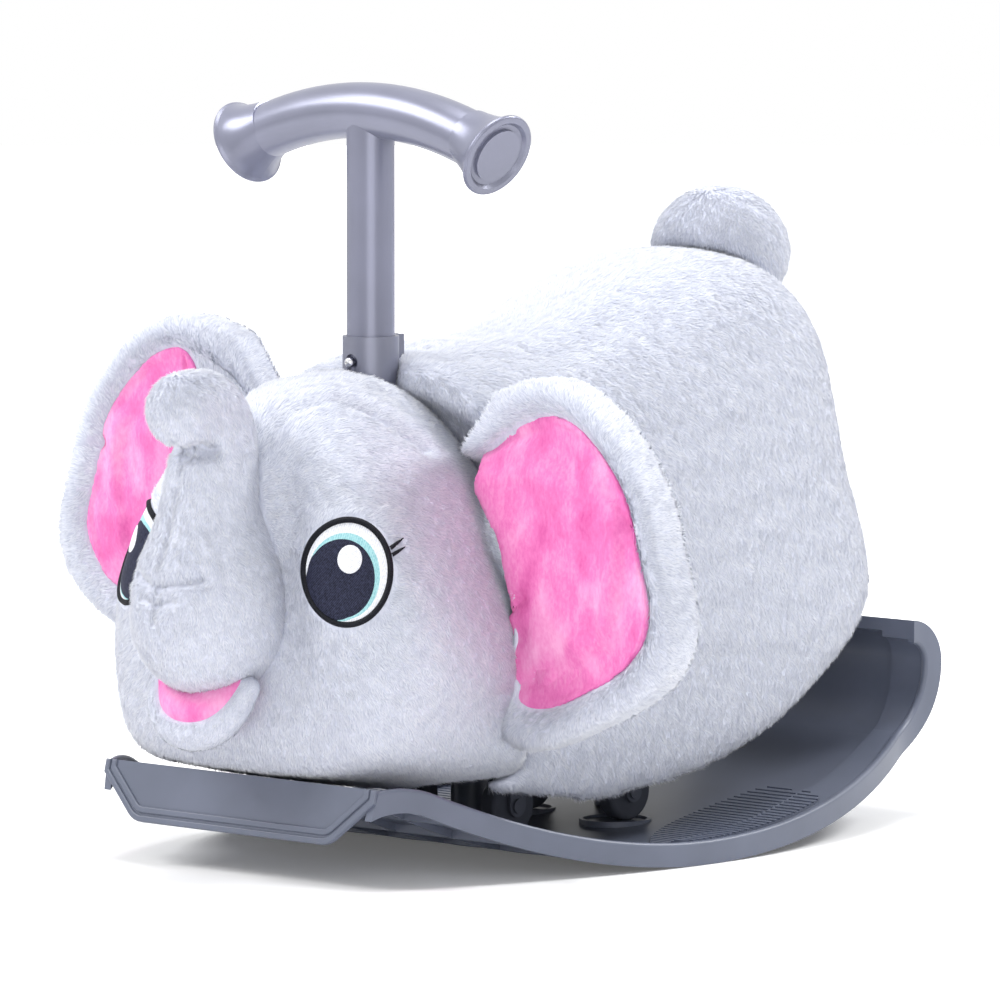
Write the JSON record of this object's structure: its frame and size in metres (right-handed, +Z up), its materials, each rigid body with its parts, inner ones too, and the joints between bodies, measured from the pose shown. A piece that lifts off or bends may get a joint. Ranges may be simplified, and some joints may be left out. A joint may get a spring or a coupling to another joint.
{
  "type": "rocking elephant",
  "caption": "Plush elephant rocking ride-on: soft body on a moulded curved rocker tray with ribbed foot grips, T handlebar in a split steel socket and swivel casters under the body.",
  "frame": {"origin": "centre of the whole object's bounding box, on the floor under the runner", "axes": "+X to the elephant's left, -Y to its front (trunk), +Z up"},
  "size_m": [0.5774, 0.642, 0.5185],
  "materials": {
    "slate_polypropylene": "satin",
    "silver_abs": "satin",
    "black_nylon": "matte",
    "painted_steel_tube": "satin",
    "zinc_plated_fork": "satin",
    "grey_tpr_wheel": "matte",
    "zinc_plated_fastener": "satin",
    "acetal_bush": "satin",
    "brass_insert": "satin",
    "chromed_button": "polished",
    "spring_steel": "satin",
    "foam_core": "matte",
    "pink_minky": "matte",
    "embroidered_felt": "matte",
    "grey_plush": "matte"
  },
  "bodies": {
    "elephant": {"back_bolster": "grey_plush", "body_cover": "grey_plush", "caster_bushes": "acetal_bush", "chassis": "black_nylon", "dock_bolts": "zinc_plated_fastener", "ear_left": "grey_plush", "ear_lining_left": "pink_minky", "ear_lining_right": "pink_minky", "ear_right": "grey_plush", "eye_left": "embroidered_felt", "eye_right": "embroidered_felt", "foot_grip_left": "slate_polypropylene", "foot_grip_right": "slate_polypropylene", "handle_socket": "painted_steel_tube", "handlebar": "silver_abs", "head": "grey_plush", "lower_lip": "grey_plush", "mouth_lining": "pink_minky", "rocker_tray": "slate_polypropylene", "seat_core": "foam_core", "snap_button_spring": "spring_steel", "socket_screws": "zinc_plated_fastener", "tail": "grey_plush", "threaded_inserts": "brass_insert", "trunk": "grey_plush"},
    "snap_button": {"snap_button": "chromed_button"},
    "caster_front_left": {"caster_fork_front_left": "zinc_plated_fork", "caster_axle_front_left": "zinc_plated_fastener"},
    "wheel_front_left": {"caster_wheel_front_left": "grey_tpr_wheel"},
    "caster_front_right": {"caster_fork_front_right": "zinc_plated_fork", "caster_axle_front_right": "zinc_plated_fastener"},
    "wheel_front_right": {"caster_wheel_front_right": "grey_tpr_wheel"},
    "caster_rear_left": {"caster_fork_rear_left": "zinc_plated_fork", "caster_axle_rear_left": "zinc_plated_fastener"},
    "wheel_rear_left": {"caster_wheel_rear_left": "grey_tpr_wheel"},
    "caster_rear_right": {"caster_fork_rear_right": "zinc_plated_fork", "caster_axle_rear_right": "zinc_plated_fastener"},
    "wheel_rear_right": {"caster_wheel_rear_right": "grey_tpr_wheel"}
  },
  "joints": [
    {"name": "snap_button_press", "type": "slide", "parent": "elephant", "child": "snap_button", "axis": [0, 1, 0], "range_m": [0, 0.004], "stiffness_N_per_m": 300, "deforming": ["snap_button_spring"]},
    {"name": "caster_front_left_swivel", "type": "hinge", "parent": "elephant", "child": "caster_front_left", "pos_m": [0.045, -0.042, 0.06], "axis": [0, 0, 1], "continuous": true},
    {"name": "wheel_front_left_spin", "type": "hinge", "parent": "caster_front_left", "child": "wheel_front_left", "pos_m": [0.045, -0.034, 0.0317], "axis": [1, 0, 0], "continuous": true},
    {"name": "caster_front_right_swivel", "type": "hinge", "parent": "elephant", "child": "caster_front_right", "pos_m": [-0.045, -0.042, 0.06], "axis": [0, 0, 1], "continuous": true},
    {"name": "wheel_front_right_spin", "type": "hinge", "parent": "caster_front_right", "child": "wheel_front_right", "pos_m": [-0.045, -0.034, 0.0317], "axis": [1, 0, 0], "continuous": true},
    {"name": "caster_rear_left_swivel", "type": "hinge", "parent": "elephant", "child": "caster_rear_left", "pos_m": [0.045, 0.072, 0.06], "axis": [0, 0, 1], "continuous": true},
    {"name": "wheel_rear_left_spin", "type": "hinge", "parent": "caster_rear_left", "child": "wheel_rear_left", "pos_m": [0.045, 0.08, 0.0317], "axis": [1, 0, 0], "continuous": true},
    {"name": "caster_rear_right_swivel", "type": "hinge", "parent": "elephant", "child": "caster_rear_right", "pos_m": [-0.045, 0.072, 0.06], "axis": [0, 0, 1], "continuous": true},
    {"name": "wheel_rear_right_spin", "type": "hinge", "parent": "caster_rear_right", "child": "wheel_rear_right", "pos_m": [-0.045, 0.08, 0.0317], "axis": [1, 0, 0], "continuous": true}
  ]
}
